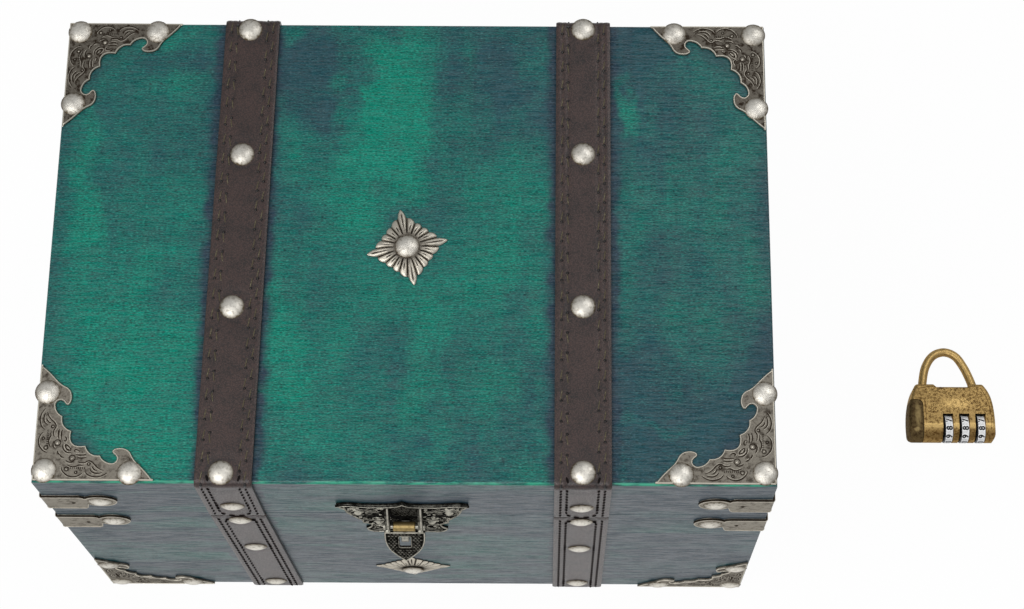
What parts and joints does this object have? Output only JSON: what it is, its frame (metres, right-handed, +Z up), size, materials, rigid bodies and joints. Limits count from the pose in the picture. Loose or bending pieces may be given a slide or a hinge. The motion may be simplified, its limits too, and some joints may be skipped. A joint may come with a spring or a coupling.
{
  "type": "strongbox",
  "caption": "Wooden strongbox with a hinged lid, nailed leather straps, corner plates and bands, a hasp and a combination padlock lying beside it.",
  "frame": {"origin": "centre of the box's underside, on the surface it stands on", "axes": "+X to the right as seen from the front, +Y from the front face to the back, +Z up; the hasp is on the -Y face"},
  "size_m": [0.4135, 0.2176, 0.1792],
  "materials": {
    "wood": "green stain, brushed grain, satin",
    "leather": "dark brown, stitched edges, satin",
    "bronze": "aged bronze, worn bright on raised parts",
    "dark_bronze": "blackened bronze with bright rims",
    "brass": "antique brass, engraved scrolls",
    "dial": "white with black digits"
  },
  "bodies": {
    "box": {"base_floor": "wood", "base_front": "wood", "base_back": "wood", "base_left": "wood", "base_right": "wood", "front_strap_left": "leather", "front_strap_right": "leather", "back_strap_left": "leather", "back_strap_right": "leather", "front_plate_left": "bronze", "front_plate_right": "bronze", "base_band_front_left": "bronze", "base_band_front_right": "bronze", "base_band_back_left": "bronze", "base_band_back_right": "bronze", "front_rosette": "bronze", "front_rosette_nail": "bronze", "hasp_base_plate": "dark_bronze", "hasp_tack_lower_left": "bronze", "hasp_tack_lower_right": "bronze", "hinge_base_leaf_left": "bronze", "hinge_base_leaf_right": "bronze", "hinge_pin_left": "bronze", "hinge_pin_right": "bronze"},
    "lid": {"lid_top": "wood", "lid_front_rail": "wood", "lid_back_rail": "wood", "lid_left_rail": "wood", "lid_right_rail": "wood", "lid_strap_left": "leather", "lid_strap_right": "leather", "lid_plate_front_left": "bronze", "lid_plate_front_right": "bronze", "lid_plate_back_left": "bronze", "lid_plate_back_right": "bronze", "lid_band_front_left": "bronze", "lid_band_front_right": "bronze", "lid_band_back_left": "bronze", "lid_band_back_right": "bronze", "lid_rosette": "bronze", "lid_rosette_nail": "bronze", "hasp_lid_plate": "dark_bronze", "hasp_tack_upper_left": "bronze", "hasp_tack_upper_right": "bronze", "hasp_pin": "dark_bronze", "hinge_lid_leaf_left": "bronze", "hinge_lid_leaf_right": "bronze"},
    "tongue": {"hasp_tongue": "dark_bronze"},
    "padlock": {"padlock_back": "brass", "padlock_front": "brass", "dial_spindle": "dark_bronze", "shackle_pivot": "dark_bronze"},
    "shackle": {"padlock_shackle": "brass"},
    "slider": {"padlock_slider": "brass"},
    "dial_1": {"dial_1": "dial"},
    "dial_2": {"dial_2": "dial"},
    "dial_3": {"dial_3": "dial"}
  },
  "joints": [
    {"name": "lid_hinge", "type": "hinge", "parent": "box", "child": "lid", "pos_m": [0, 0.1014, 0.1302], "axis": [-1, 0, 0], "range_deg": [0, 100]},
    {"name": "tongue_hinge", "type": "hinge", "parent": "lid", "child": "tongue", "pos_m": [-0.0025, -0.1042, 0.129], "axis": [-1, 0, 0], "range_deg": [-33.5, 85]},
    {"name": "padlock_lift", "type": "slide", "parent": "box", "child": "padlock", "axis": [0, 0, 1], "range_m": [0, 0.06]},
    {"name": "shackle_hinge", "type": "hinge", "parent": "padlock", "child": "shackle", "pos_m": [0.2576, -0.0086, 0.007], "axis": [0, 0, -1], "range_deg": [0, 70]},
    {"name": "slider_slide", "type": "slide", "parent": "padlock", "child": "slider", "axis": [-1, 0, 0], "range_m": [0, 0.003]},
    {"name": "dial_1_turn", "type": "hinge", "parent": "padlock", "child": "dial_1", "pos_m": [0.243, -0.0257, 0.0074], "axis": [1, 0, 0], "continuous": true},
    {"name": "dial_2_turn", "type": "hinge", "parent": "padlock", "child": "dial_2", "pos_m": [0.25055, -0.0257, 0.0074], "axis": [1, 0, 0], "continuous": true},
    {"name": "dial_3_turn", "type": "hinge", "parent": "padlock", "child": "dial_3", "pos_m": [0.2581, -0.0257, 0.0074], "axis": [1, 0, 0], "continuous": true}
  ]
}
